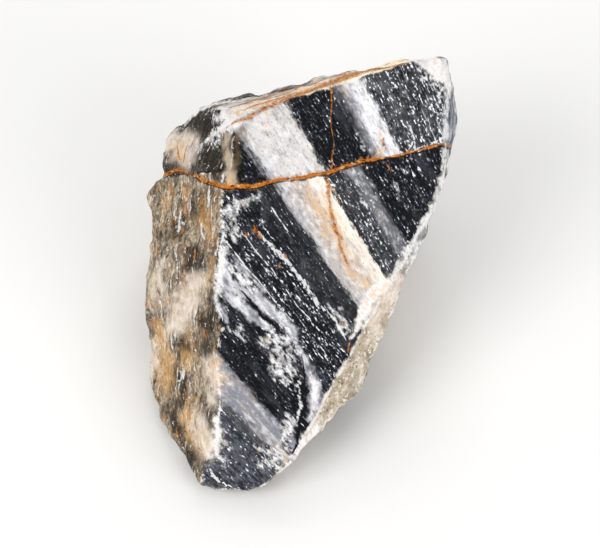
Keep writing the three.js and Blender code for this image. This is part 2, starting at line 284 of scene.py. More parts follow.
OCHRE_WASH = (
    ((-53, 0, 1.4), (-52.5, -8, 2.0), (-50, -17, 3.0), (-50, -23, 2.4)),
    ((-41.9, -29.5, 1.8), (-42, -34, 3.0), (-39, -42, 3.4), (-36, -48, 1.6)),
    ((-50.5, 48, 1.0), (-50, 44, 1.0)), ((-43, 50, 0.3), (-42.5, 42, 0.3)),
    ((-36.5, 44, 0.3), (-36, 35, 0.3)), ((-33, 40, 0.3), (-33.5, 28, 0.5)),
    ((-32.6, 22, 0.2), (-34, 12, 0.3)), ((-41, -8, 2.2), (-41.5, -15, 2.4)),
    ((-31.2, -17, 0.8), (-31, -26, 1.0)),
)
DARK_WASH = (
    ((-41.3, 26, 2.2), (-39, 22.5, 3.6), (-36.5, 19, 2.2)),
    ((-33.2, 8, 1.2), (-34, 3, 2.4), (-34.8, -2.5, 2.8), (-35.4, -8, 2.4), (-34, -12, 1.2)),
    ((-46, -18.5, 1.6), (-43, -23, 2.6), (-43.6, -28, 2.4), (-45, -32, 1.8)),
    ((-43.5, -8, 1.2), (-40.5, -9.5, 1.4)), ((-33.3, -34.5, 1.4), (-32.8, -38, 1.1)),
    ((-42, 77.2, 1.4), (-37.5, 75.5, 3.4), (-34, 72.5, 2.6)), ((-51.5, 61, 1.6), (-46, 59.2, 1.2)),
    ((-37, 62, 2.2), (-33.5, 58, 3.2), (-30.5, 54.5, 2.6)),
    ((-50, -31, 1.6), (-47.5, -37.5, 2.2), (-44, -44, 2.2), (-40, -52, 2.4)),
    ((-38.5, 46, 0.9), (-38.8, 41, 1.1)), ((-47, 40, 1.0), (-47.5, 33, 1.4)),
    ((-33.4, 84, 0.4), (-26.5, 86, 0.8), (-20, 87.2, 1.0), (-13, 87, 0.8), (-6, 88, 0.9), (1, 90, 0.6)),
)

# What is cut as a groove: lines, depth as a share of the crack's, start inside the rim, and run of its sides.
GROOVES = ((RUSTY_CRACK, 1.0, 0.6, 0.9), (RUST_RUNS[:3], 0.6, 0.4, 0.8))


class RockShape(bpy.types.PropertyGroup):
    rows: IntProperty(
        name="Rows", description="Grid points along each side of the six patches", default=129, min=17)
    edge_power: FloatProperty(
        name="Edge sharpness", description="Higher keeps the broken edges sharper", default=150)
    lump: FloatProperty(name="Lumps", description="Share of the broad waviness", default=1.0)
    ledge: FloatProperty(name="Ledges", description="Share of the stepped beds", default=1.0)
    rough: FloatProperty(name="Roughness", description="Share of the fine broken relief", default=1.0)
    chip: FloatProperty(
        name="Edge chips", description="Deepest chip along an edge, in millimetres", default=1.0)
    crack: FloatProperty(
        name="Crack depth", description="Depth of the rusty crack, in millimetres", default=0.7)


class RockFinish(bpy.types.PropertyGroup):
    dark: StringProperty(name="Dark marble", description="sRGB hex of carbon-dark beds", default="#101114")
    quartz: StringProperty(name="Quartz", description="sRGB hex of half-clear streaks", default="#bdbcc2")
    rust: StringProperty(name="Rust", description="sRGB hex of the iron in the cracks", default="#c06f25")
    rust_dark: StringProperty(name="Dark rust", description="sRGB hex of thick iron crust", default="#5e3515")
    coat: StringProperty(name="Weathered coat", description="sRGB hex of the old skin", default="#897b69")
    pale: StringProperty(name="Pale coat", description="sRGB hex of washed patches on it", default="#e7d8c8")
    bevel: StringProperty(name="Bevel", description="sRGB hex of the old pale break", default="#c2b39e")


class StageSettings(bpy.types.PropertyGroup):
    floor: StringProperty(name="Floor", description="sRGB hex of the studio floor", default="#eeedea")
    sky: StringProperty(name="Sky", description="sRGB hex of the even light all round", default="#e8e9ec")
    sky_power: FloatProperty(name="Sky strength", description="Strength of that light", default=0.62)
    elevation: FloatProperty(
        name="Camera height", description="Angle above the horizon", subtype="ANGLE",
        default=math.radians(50))
    distance: FloatProperty(
        name="Camera distance", description="From the target", default=0.8, unit="LENGTH")
    lens: FloatProperty(name="Lens", description="Focal length in millimetres", default=130.4)
    target: FloatVectorProperty(
        name="Target", description="Point that the camera looks at", default=(-0.0005, -0.0075, 0.043),
        subtype="XYZ")
    left: FloatProperty(name="Left light", description="Power of the soft light on the left", default=5.7)
    right: FloatProperty(name="Right light", description="Power of the soft light on the right", default=4.9)
    back: FloatProperty(name="Back light", description="Power of the soft light behind", default=4.2)


def linear(hex_colour):
    """Linear RGBA from an sRGB hex colour."""
    srgb = np.array([int(hex_colour[i:i + 2], 16) / 255 for i in (1, 3, 5)])
    rgb = np.where(srgb <= 0.04045, srgb / 12.92, ((srgb + 0.055) / 1.055) ** 2.4)
    return (*rgb.tolist(), 1.0)


def add(tree, kind, *inputs, named=None, out=0, stops=None, **settings):
    """Adds one node by its kind and operation, sets it, fills or links its inputs, and gives an output, or
    the node where out is None."""
    kind, *operation = kind.split()
    node = tree.nodes.new("ShaderNode" + kind)
    for name, value in [*settings.items(), *(("operation", name) for name in operation)]:
        setattr(node, name, value)
    for socket, value in [*enumerate(inputs), *(named or {}).items()]:
        if isinstance(value, bpy.types.NodeSocket):
            tree.links.new(value, node.inputs[socket])
        else:
            node.inputs[socket].default_value = value
    if stops:
        ramp = node.color_ramp
        while len(ramp.elements) < len(stops):
            ramp.elements.new(0.5)
        for element, (place, colour) in zip(ramp.elements, stops):
            element.position = place
            element.color = colour
    return node if out is None else node.outputs[out]


def lattice_noise(points, size, seed):
    """Smooth noise from -1 to 1: random values on a lattice of the given size, blended by an S-curve."""
    q = points / size
    cell = np.floor(q).astype(np.int64)
    f = q - cell
    f = f * f * f * (f * (f * 6 - 15) + 10)
    total = np.zeros(points.shape[:-1])
    for corner in np.ndindex(2, 2, 2):
        h = ((cell + np.array(corner)) * LATTICE_MIX).sum(-1) + seed * SEED_MIX
        h = (h ^ (h >> 13)) * 1103515245 & 0x7FFFFFFF
        h = (h ^ (h >> 15)) * 12345 + 6789 & 0x7FFFFFFF
        weight = np.where(np.array(corner), f, 1 - f).prod(-1)
        total += weight * ((h % 65536) / 32767.5 - 1)
    return total


def noises(points, rows):
    """Sum of lattice noises, row by row: stretch of the place, size in mm, seed and height."""
    return sum(high * lattice_noise(points * np.array(stretch), size, seed)
               for stretch, size, seed, high in rows)


def waves(points, rows):
    """Sum of plane waves: height times the sine of the way along each wave, in wavelengths."""
    return sum(high * np.sin(points @ np.array(along) * 2 * np.pi / length + start)
               for along, length, high, start in rows)


def smoothstep(low, high, x):
    """S-shaped step from 0 at low to 1 at high."""
    t = np.clip((x - low) / (high - low), 0, 1)
    return t * t * (3 - 2 * t)


def bell(x, run):
    """Bell-shaped fall from 1 at zero and below, over a run in mm."""
    return np.exp(-(np.maximum(x, 0) / run) ** 2)


def cube_sphere(rows):
    """Directions over the six sides of a cube, evenly spaced in angle: tan of an even angle on each side."""
    a = np.tan(np.linspace(-np.pi / 4, np.pi / 4, rows))
    u, v = np.meshgrid(a, a, indexing="ij")
    one = np.ones_like(u)
    sides = ((one, u, v), (-one, v, u), (v, one, u), (u, -one, v), (u, v, one), (v, u, -one))
    d = np.stack([np.stack(s, -1) for s in sides])
    return d / np.linalg.norm(d, axis=-1, keepdims=True)


def welded_grid(rows):
    """One list of directions with the patches' shared borders joined, and the quads between them."""
    d = cube_sphere(rows)
    keys = np.round(d.reshape(-1, 3) * 1e6).astype(np.int64)
    _, first, back = np.unique(keys, axis=0, return_index=True, return_inverse=True)
    index = back.reshape(6, rows, rows)
    quads = np.stack([index[:, :-1, :-1], index[:, 1:, :-1], index[:, 1:, 1:], index[:, :-1, 1:]], -1)
    return d.reshape(-1, 3)[first], quads.reshape(-1, 4)


def slope_place(p):
    """Place on the slope of the front face: across, up the slope, and out of it."""
    up = p[:, 1] * math.cos(SLOPE) + p[:, 2] * math.sin(SLOPE)
    out = p[:, 2] * math.cos(SLOPE) - p[:, 1] * math.sin(SLOPE)
    return np.stack([p[:, 0], up, out], -1)


def bed_place(q):
    """Place in the fan of beds: along a bed, across the beds, and depth. The beds are rays from a far hinge,
    so across is the angle about the hinge times its mean distance, and along is the distance to the hinge."""
    reach = np.hypot(*BED_HINGE)
    du = q[:, 0] + BED_DIP * (q[:, 2] - FACE_HEIGHT) - BED_HINGE[0]
    dv = q[:, 1] - BED_HINGE[1]
    turn = np.arctan2(du, dv) - math.atan2(-BED_HINGE[0], -BED_HINGE[1])
    return np.stack([reach - np.hypot(du, dv), reach * turn, q[:, 2]], -1)


def mark_field(q, lines):
    """Distance on the slope to the rim of the nearest mark, below zero inside it, and the place across it.

    For each straight piece of each line the rim distance is the distance to the piece less its half width
    there; the least of them all counts. The place across is the signed distance to that piece as a share of
    its half width."""
    rim = np.full(len(q), FAR_MARK)
    side = np.full(len(q), FAR_SIDE)
    for line in lines:
        for a, b in zip(line[:-1], line[1:]):
            run = np.subtract(b[:2], a[:2])
            off = q[:, :2] - np.array(a[:2])
            s = np.clip((off @ run) / (run @ run), 0, 1)
            far = np.linalg.norm(off - s[:, None] * run, axis=1)
            half = a[2] + s * (b[2] - a[2])
            turn = np.where(off[:, 1] * run[0] < off[:, 0] * run[1], -1.0, 1.0)
            side = np.where(far - half < rim, turn * far / np.maximum(half, THINNEST), side)
            rim = np.minimum(rim, far - half)
    return rim, side


def face_arrays(faces):
    """Outward normals, gaps from the heart, relief shares and zones of a block's faces."""
    heading = np.radians([f[0] for f in faces])
    rise = np.radians([f[1] for f in faces])
    normals = np.stack([np.cos(heading) * np.cos(rise), np.sin(heading) * np.cos(rise), np.sin(rise)], -1)
    gaps = (normals * (np.array([f[2] for f in faces], float) - HEART)).sum(-1)
    shares = np.array([f[3:6] for f in faces], float)
    zones = np.array([ZONES.index(f[6]) for f in faces])
    return normals, gaps, shares, zones


def relief(p, shape):
    """Heights over a flat face at points p: broad waves, stepped beds and fine broken roughness, in mm."""
    q = slope_place(p)
    place = p @ LEDGE_NORMAL + waves(p, FOLDS)
    steps = LEDGE_FLOOR + noises(bed_place(q), LAYERS)
    for middle, half, height in LEDGES:
        steps += height * (1 - smoothstep(-LEDGE_RUN / 2, LEDGE_RUN / 2, np.abs(place - middle) - half))
    rough = noises(p, BROKEN) + noises(q, FLUTES)
    return np.stack([waves(p, LUMPS) * shape.lump, steps * shape.ledge, rough * shape.rough], -1)


def rock_surface(shape):
    """The stone as a distance along each ray from its heart.

    A face stops a ray at (gap + relief) / (normal . ray). Within a block the nearest stop wins, taken as a
    high power mean so that the edges are worn round; of the two blocks, before and behind the crack, the
    farther wins. The crack lines are cut as grooves, and chips take a little off near each edge."""
    rays, quads = welded_grid(shape.rows)
    rays = rays * STRETCH
    blocks = [face_arrays(BODY + BEFORE_CRACK), face_arrays(BODY + BEHIND_CRACK)]
    toward = [np.maximum(rays @ n.T, 0) for n, _, _, _ in blocks]
    crisp = np.max([1 / (k / g).max(-1) for k, (_, g, _, _) in zip(toward, blocks)], axis=0)
    base = HEART + rays * crisp[:, None]
    fields = relief(base, shape)
    flat = slope_place(base)
    groove = sum(deep * bell(mark_field(flat, lines)[0] + inset, run) for lines, deep, inset, run in GROOVES)
    stop, gaps = [], []
    for k, (_, g, shares, _) in zip(toward, blocks):
        gap = g + fields @ shares.T - shape.crack * groove[:, None] * (shares[:, 2] > 0)
        ratio = k / gap
        top = ratio.max(-1, keepdims=True)
        stop.append(1 / (top[:, 0] * ((ratio / top) ** shape.edge_power).sum(-1) ** (1 / shape.edge_power)))
        gaps.append(gap)
    behind = stop[1] >= stop[0]
    points = HEART + rays * np.where(behind, stop[1], stop[0])[:, None]
    # Distance from each point to the planes of its own block, zone by zone, and to the nearest sharp edge.
    to_zone = np.full((len(points), len(ZONES)), FAR_ZONE)
    edge = np.full(len(points), FAR_EDGE)
    for picked, gap, (normals, _, _, zones) in zip((~behind, behind), gaps, blocks):
        left = gap[picked] - (points[picked] - HEART) @ normals.T
        for z in np.unique(zones):
            to_zone[picked, z] = left[:, zones == z].min(-1)
        own = left.argmin(-1)
        turn = normals @ normals.T
        apart = 1 / np.sqrt(np.maximum(1 - turn * turn, 0.05))
        edge[picked] = np.where((turn < SHARP)[own], left * apart[own], FAR_EDGE).min(-1)
    # Chips are bitten out where a noise is high, and fade out near the ground.
    bite = smoothstep(0.1, 0.9, noises(points, BITES)) * smoothstep(1.0, 5.0, points[:, 2])
    depth = shape.chip * bell(edge, CHIP_RUN) * bite
    points = points - rays / np.linalg.norm(rays, axis=1, keepdims=True) * depth[:, None]
    points[:, 2] = np.maximum(points[:, 2], 0)
    return points, quads, to_zone, edge


def marks(points, to_zone, edge):
    """What the finish needs to know at each point: how far it is inside each zone (below zero outside), from
    the edges, and from each kind of mark. Marks wander a little, as noise moves the place they are measured
    from; those other than the crack stay on the sloping side, so depth below it adds to their distance."""
    q = slope_place(points)
    named = {}
    for z, zone in enumerate(ZONES):
        named["in_" + zone] = np.delete(to_zone, z, axis=1).min(-1) - to_zone[:, z]
    front, coat, bevel, rear = (to_zone[:, ZONES.index(zone)] for zone in ("front", "coat", "bevel", "rear"))
    named["ridge"] = np.maximum(front, coat)
    named["rim"] = np.maximum(front, np.minimum(bevel, rear))
    named["lip"] = front
    named["edge"] = edge
    wander = np.stack([noises(points, (((1, 1, 1), 8.0, 41 + k, 1.0), ((1, 1, 1), 3.6, 43 + k, 0.6)))
                       for k in (0, 1)], -1)
    near = q[:, :2] + CRACK_WANDER * wander
    along, up, half = np.array(RUSTY_CRACK[0]).T
    named["crack_side"] = near[:, 1] - np.interp(near[:, 0], along, up)
    named["crack_half"] = np.interp(near[:, 0], along, half)
    named["crack"] = mark_field(near, RUSTY_CRACK)[0]
    sunk = np.maximum(MARK_FLOOR - q[:, 2], 0)
    near = q[:, :2] + LINE_WANDER * wander
    for name, lines in (("rust", RUST_RUNS), ("thread", WHITE_THREADS), ("black", BLACK_VEINS)):
        rim, named[name + "_side"] = mark_field(near, lines)
        named[name] = rim + sunk
    for name, lines in (("milk", MILKY_PATCHES), ("quartz", QUARTZ_STREAKS)):
        named[name] = mark_field(near, lines)[0] + sunk
    near = q[:, :2] + WASH_WANDER * wander
    for name, lines in (("stain", STAINS), ("white", WHITE_VEINS), ("haze", HAZE), ("olive", OLIVE_RUNS),
                        ("beige", BEIGE_RUNS), ("pale", PALE_WASH), ("ochre", OCHRE_WASH),
                        ("smudge", DARK_WASH)):
        named[name] = mark_field(near, lines)[0] + sunk
    return named, bed_place(q)


def put_mesh(name, points, quads):
    """A mesh object at the origin from arrays of points in millimetres and quads."""
    mesh = bpy.data.meshes.new(name)
    mesh.vertices.add(len(points))
    mesh.vertices.foreach_set("co", (points * MM).astype(np.float32).ravel())
    mesh.loops.add(quads.size)
    mesh.loops.foreach_set("vertex_index", quads.astype(np.int32).ravel())
    mesh.polygons.add(len(quads))
    mesh.polygons.foreach_set("loop_start", np.arange(0, quads.size, 4, dtype=np.int32))
    mesh.polygons.foreach_set("use_smooth", np.ones(len(quads), dtype=bool))
    mesh.update(calc_edges=True)
    made = bpy.data.objects.new(name, mesh)
    bpy.context.scene.collection.objects.link(made)
    return made


def cloud(tree, where, size, detail=2.0):
    """Noise about 0.5 whose blots have a real size in mm: the place is divided by the size."""
    place = add(tree, "VectorMath MULTIPLY", where, 1 / np.full(3, size))
    return add(tree, "TexNoise", place, 0.0, 1.0, detail, 0.58)


def grains(tree, where, size, low, high, detail):
    """Cover of grains of a real size in mm: a cloud cut between two levels; higher ones leave fewer."""
    return add(tree, "MapRange", cloud(tree, where, size, detail), low, high, interpolation_type="SMOOTHSTEP")


def mottled(tree, where, size, detail, *stops):
    """Colours of a cloud by its level: stops of level and hex colour."""
    return add(tree, "ValToRGB", cloud(tree, where, size, detail), stops=tones(*stops))


def inside(tree, field, ragged, reach, soft):
    """Cover of a mark: its field, with the rim moved by a cloud up to reach mm, cut about zero."""
    moved = add(tree, "Math MULTIPLY_ADD", ragged, -2 * reach, reach)
    moved = add(tree, "Math ADD", field, moved)
    return add(tree, "MapRange", moved, soft, -soft, interpolation_type="SMOOTHSTEP")


def line(tree, at, name):
    """Field of a thin line in mm: from the place across it, which stays exact between the mesh's points, and
    kept to the line's own length by the rim distance."""
    across = add(tree, "Math ABSOLUTE", at[name + "_side"])
    across = add(tree, "Math MULTIPLY_ADD", across, LINE_HALF, -LINE_HALF)
    beyond = add(tree, "Math SUBTRACT", at[name], LINE_END)
    return add(tree, "Math MAXIMUM", across, beyond)


def coat_with(tree, under, over, *shares):
    """Lays one colour, linked or in hex, over another where all the shares are high."""
    cover = shares[0]
    for share in shares[1:]:
        cover = add(tree, "Math MULTIPLY", cover, share)
    over = linear(over) if isinstance(over, str) else over
    return add(tree, "Mix", named={0: cover, 6: under, 7: over}, out=2, data_type="RGBA")


def grained(tree, under, where, *rows):
    """Lays grains over a colour, by rows: colour, size in mm, low and high level, detail, more shares."""
    for colour, size, low, high, detail, *shares in rows:
        under = coat_with(tree, under, colour, grains(tree, where, size, low, high, detail), *shares)
    return under


def marked(tree, under, *rows):
    """Lays marks over a colour, by rows: colour, field, cloud for the rim, reach, softness, more shares."""
    for colour, field, ragged, reach, soft, *shares in rows:
        under = coat_with(tree, under, colour, inside(tree, field, ragged, reach, soft), *shares)
    return under


def tones(*stops):
    """Stops of a ramp from hex colours."""
    return [(place, linear(colour)) for place, colour in stops]


def banded(tree, across, *stops):
    """Colours across the beds: stops of place in mm, brought to the ramp's 0 to 1, hex colour, and cover
    where not full."""
    return add(tree, "ValToRGB", across, stops=[
        ((mm - BED_LOW) / BED_SPAN, (*linear(colour)[:3], *(cover or [1.0])))
        for mm, colour, *cover in stops])


def marble_material(finish, names):
    """Banded marble, broken by hand and weathered on one side.

    A fresh break across the beds shows carbon-dark marble with short white grains drawn out along the beds,
    broad sugary white bands and half-clear grey ones. Iron has rusted the cracks orange. The old outer skin
    is a tan coat with rust and lime runs, and the knocked edges are bruised white."""
    material = bpy.data.materials.new("banded marble, broken and weathered")
    material.use_nodes = True
    tree = material.node_tree
    tree.nodes.clear()
    at = {name: add(tree, "Attribute", out="Fac", attribute_name=name) for name in names}
    bed = add(tree, "Attribute", out="Vector", attribute_name="bed")
    across = add(tree, "SeparateXYZ", bed, out=1)
    place = add(tree, "TexCoord", out="Object")
    to_mm = [1 / MM] * 3
    slope = add(tree, "Mapping", place, (0, 0, 0), (-SLOPE, 0, 0), to_mm)
    crest = add(tree, "Mapping", place, (0, 0, 0), (-SLOPE, 0, CREST_TURN), to_mm)
    upward = add(tree, "SeparateXYZ", slope, out=1)
    is_above = add(tree, "MapRange", at["crack_side"], -0.3, 0.3)
    is_below = add(tree, "MapRange", at["crack_side"], 0.3, -0.3)

    # Bed borders: feathered over several millimetres along the beds, and stepped by single crystals. Clouds
    # lie about 0.5, so half of both moves is taken off again.
    feather = cloud(tree, bed, (12, 2.2, 6), 4.0)
    crystal = cloud(tree, bed, (2.2, 0.9, 1.2), 3.0)
    shifted = add(tree, "Math MULTIPLY_ADD", feather, FEATHER, across)
    shifted = add(tree, "Math MULTIPLY_ADD", crystal, CRYSTAL, shifted)
    start = -(BED_LOW + (FEATHER + CRYSTAL) / 2) / BED_SPAN
    shifted = add(tree, "Math MULTIPLY_ADD", shifted, 1 / BED_SPAN, start)

    # Dark beds: carbon-black with grey and white grains of about 0.7 by 4 mm drawn out along them. How they
    # crowd differs from bed to bed, and above the crack from below it.
    crowd = coat_with(
        tree,
        banded(
            tree, shifted,
            (-80, "#acacac"), (-47, "#acacac"), (-28, "#787878"), (-14, "#8c8c8c"), (-3, "#b8b8b8"),
            (7.5, "#acacac"), (11, "#8e8e8e"), (18, "#888888"), (34, "#b6b6b6"), (44, "#b0b0b0"),
            (48, "#9c9c9c"), (62, "#a6a6a6"), (90, "#b8b8b8")),
        banded(
            tree, shifted,
            (-80, "#909090"), (18, "#888888"), (36, "#9c9c9c"), (52, "#949494"), (60, "#c0c0c0"),
            (90, "#cacaca")),
        is_above)
    drawn = cloud(tree, bed, (3.9, 0.7, 2.0))
    round_ones = cloud(tree, bed, (1.1, 0.68, 0.95), 1.0)
    round_ones = add(tree, "Math MULTIPLY", round_ones, 0.43)
    grain = add(tree, "Math MULTIPLY_ADD", drawn, 0.57, round_ones)
    grain = add(tree, "Math MULTIPLY_ADD", crowd, 0.22, grain)
    dark_bed = add(tree, "ValToRGB", grain, stops=tones(
        (0.50, finish.dark), (0.60, "#1b1d21"), (0.655, "#3a3d44"), (0.695, "#777a82"), (0.73, "#cfd0d5"),
        (0.76, "#f6f6f7")))
    # Over them grey clouds, a bluish sheen at the toe, and long hair-thin lime threads between the grains.
    at_toe = add(tree, "MapRange", shifted, 0.22, 0.185)
    hair = grains(tree, bed, (40, 0.8, 5), 0.645, 0.70, 1.0)
    crowded = add(tree, "MapRange", crowd, 0.40, 0.52)
    dark_bed = grained(
        tree, dark_bed, bed,
        ("#4a4c53", (16, 4.5, 8), 0.50, 0.70, 6.0, 0.5),
        ("#5d6370", (3.2, 1.4, 2.2), 0.42, 0.60, 6.0, at_toe, 0.6),
        ("#c4c5ca", (4, 2, 3), 0.44, 0.56, 2.0, hair, crowded, 0.6))

    # Light beds over them. The lower half of the big white bed is stained cream on its right.
    below = banded(
        tree, shifted,
        (-80, "#4c515e", 0.1), (-50, "#454956", 0.1), (-46, "#565963", 0.1), (-41.5, "#8e8e97", 0.2),
        (-39.5, "#90919c", 0.85), (-32.5, "#90919c", 0.85), (-31, "#8e8e97", 0), (8, "#3c3e44", 0),
        (11, "#3c3e44", 0.07), (17, "#3c3e44", 0.07), (18.2, "#b7b7bd", 0), (20.0, "#c4c0c0"),
        (24, "#c3b5a9"), (28, "#d2bfac"), (30.4, "#fbecdc"), (33.4, "#fff5ea"), (34.2, "#c9c4c0", 0),
        (36, "#66686f", 0.1), (40.5, "#5a5c64", 0.15), (42.3, "#7c7d84", 0.6), (45.3, "#84858b", 0.6),
        (47, "#5a5c64", 0), (90, "#5a5c64", 0))
    above = banded(
        tree, shifted,
        (-80, "#565963", 0), (17.8, "#b4b5bd", 0), (19.8, "#d3d1d4"), (26, "#dcd7d4"), (34.8, "#dedad8"),
        (35.7, "#c9c6c4", 0), (50.0, "#55575e", 0), (51.6, "#74757d", 0.4), (53.2, "#a3a4ab", 0.75),
        (54.6, "#ececf0"), (59.6, "#f0f0f2"), (60.6, "#2e3036", 0.2), (75, "#3c3f46", 0.12),
        (90, "#44474e", 0.15))
    light = coat_with(tree, below, above, is_above)
    covers = [ramp.node.outputs["Alpha"] for ramp in (below, above)]
    cover = add(tree, "Mix", named={0: is_above, 2: covers[0], 3: covers[1]})
    # In the light beds: stained clouds, clear grey runs, crystal faces and a few dark grains.
    light = grained(
        tree, light, bed,
        ("#b3a79b", (13, 6, 8), 0.48, 0.66, 4.0, 0.5),
        ("#8f8d93", (6, 1.8, 3), 0.50, 0.68, 6.0, 0.65),
        ("#858185", (1.9, 1.0, 1.3), 0.52, 0.70, 5.0, 0.55),
        ("#fbfaf8", (3.4, 1.8, 2.2), 0.44, 0.74, 6.0, 0.7),
        ("#3c3b3c", (1.3, 0.7, 0.8), 0.66, 0.73, 2.0, 0.7))
    # The right border of the stained bed is clean.
    clean = banded(
        tree, shifted,
        (29, "#000000"), (31, "#ffffff"), (34.2, "#ffffff"), (35, "#000000"))
    light = coat_with(tree, light, "#fff1e0", clean, is_below, 0.4)
    marble = coat_with(tree, dark_bed, light, cover)
    # White grains stay on top where no light bed covers them.
    marble = coat_with(tree, marble, "#f4f4f5", add(tree, "MapRange", grain, 0.71, 0.74),
                       add(tree, "MapRange", cover, 0.9, 0.5))

    # Half-healed breaks: a haze of crushed grains from carbon to white.
    ragged = cloud(tree, bed, (5, 2.0, 3), 5.0)
    crushed = mottled(
        tree, bed, (2.4, 1.4, 1.6), 5.0,
        (0.40, "#f2f1f0"), (0.46, "#cfcecf"), (0.51, "#a2a1a5"), (0.555, "#626266"), (0.59, "#1d1e21"))
    crushed = grained(tree, crushed, bed, ("#b59a78", (4, 2.5, 3), 0.56, 0.68, 4.0, 0.6))
    marble = marked(tree, marble, (crushed, at["haze"], ragged, 4.0, 1.0, 0.88))

    # The weathered coat: grey-brown runs down the slope, some of them rust and lime.
    # The runs sway by a few millimetres, so their patterns are read from a swaying place.
    sway = add(tree, "VectorMath MULTIPLY", slope, (1 / 9, 1 / 15, 1 / 9))
    sway = add(tree, "TexNoise", sway, 0.0, 1.0, 3.0, 0.5, out="Color")
    flow = add(tree, "VectorMath MULTIPLY_ADD", sway, (15, 4, 4), slope)
    tint = add(tree, "Math MULTIPLY", cloud(tree, flow, (0.9, 1.5, 0.9), 4.0), 0.45)
    tint = add(tree, "Math MULTIPLY_ADD", cloud(tree, flow, (1.4, 9, 3), 5.0), 0.5, tint)
    tint = add(tree, "Math SUBTRACT", tint, 0.24)
    tint = add(tree, "Math MULTIPLY_ADD", cloud(tree, slope, (6, 9, 6), 5.0), 0.55, tint)
    skin = add(tree, "ValToRGB", tint, stops=tones(
        (0.36, "#39332d"), (0.44, "#695e4f"), (0.51, finish.coat), (0.57, "#ab987d"), (0.65, "#dccfb9")))
    # Round the knob the same skin is darker.
    knob = add(tree, "ValToRGB", tint, stops=tones(
        (0.40, "#1d1c1b"), (0.50, "#3d3a36"), (0.58, "#625a51"), (0.68, "#a6947e")))
    # The bevel: an older clean break, beige and grainy with brown pits low down, nearly white high up, and
    # glassy grey beyond the crack.
    old = mottled(
        tree, slope, 5.0, 6.0,
        (0.34, "#8d7f6c"), (0.44, "#b3a38d"), (0.52, finish.bevel), (0.62, "#d8cdbd"), (0.72, "#ece5d9"))
    old = grained(
        tree, old, slope,
        ("#83745f", 1.3, 0.52, 0.66, 4.0, 0.6),
        ("#f3eee6", 1.5, 0.54, 0.64, 4.0, 0.75),
        ("#43382b", 1.3, 0.66, 0.70, 2.0, 0.85),
        ("#8e8673", 9, 0.52, 0.66, 5.0, 0.5))
    fresh = mottled(
        tree, slope, 4.0, 6.0,
        (0.36, "#5d6068"), (0.46, "#8f9299"), (0.54, "#c4c6ca"), (0.62, "#f0efee"))
    old = coat_with(tree, old, fresh, add(tree, "MapRange", upward, 4.0, 26.0), 0.85)
    glassy = mottled(
        tree, slope, (3.0, 8.0, 4.0), 6.0,
        (0.38, "#33363d"), (0.48, "#666a73"), (0.56, "#a3a6ad"), (0.66, "#e6e6e8"))
    old = coat_with(tree, old, glassy, add(tree, "MapRange", upward, 60.0, 66.0), 0.9)
    # The crest strip: cream, gold, white and grey runs along the edge, dull again farther back.
    back = add(tree, "Math MULTIPLY_ADD", cloud(tree, crest, (26, 3.6, 5), 5.0), 1.3, -0.65)
    back = add(tree, "Math MULTIPLY_ADD", at["lip"], 1 / CREST_WIDTH, back)
    strip = add(tree, "ValToRGB", back, stops=tones(
        (0.0, "#fdf3e2"), (0.10, "#fde8c8"), (0.22, "#fadcae"), (0.29, "#fdf6ec"), (0.34, "#d2c8bd"),
        (0.385, "#4d4c51"), (0.44, "#77757a"), (0.50, "#f6f1ea"), (0.57, "#5b5a5e"), (0.68, "#d8d1c7")))
    strip = grained(tree, strip, crest, ("#3a3a3c", (4, 1.0, 1.5), 0.63, 0.70, 2.0, 0.7))
    # The unseen sides: the same beds under a thin dull weather film.
    filmed = cloud(tree, slope, 16, 6.0)
    dull = coat_with(tree, marble, skin, add(tree, "MapRange", filmed, 0.36, 0.66), 0.75)
    dull = grained(tree, dull, slope, ("#a98250", 5, 0.60, 0.72, 5.0, 0.5))
    strip = coat_with(tree, strip, dull, add(tree, "MapRange", at["lip"], 13.0, 18.0))

    # The zones meet along ragged borders.
    broken = cloud(tree, slope, (2.4, 3.2, 2.4), 5.0)
    colour = marble
    for name, there, reach in (("in_rear", dull, 1.5), ("in_crest", strip, 1.2), ("in_bevel", old, 0.6),
                               ("in_coat", skin, 2.5), ("in_knob", knob, 4.0)):
        outside = add(tree, "Math MULTIPLY", at[name], -1.0)
        colour = marked(tree, colour, (there, outside, broken, reach, 0.5))

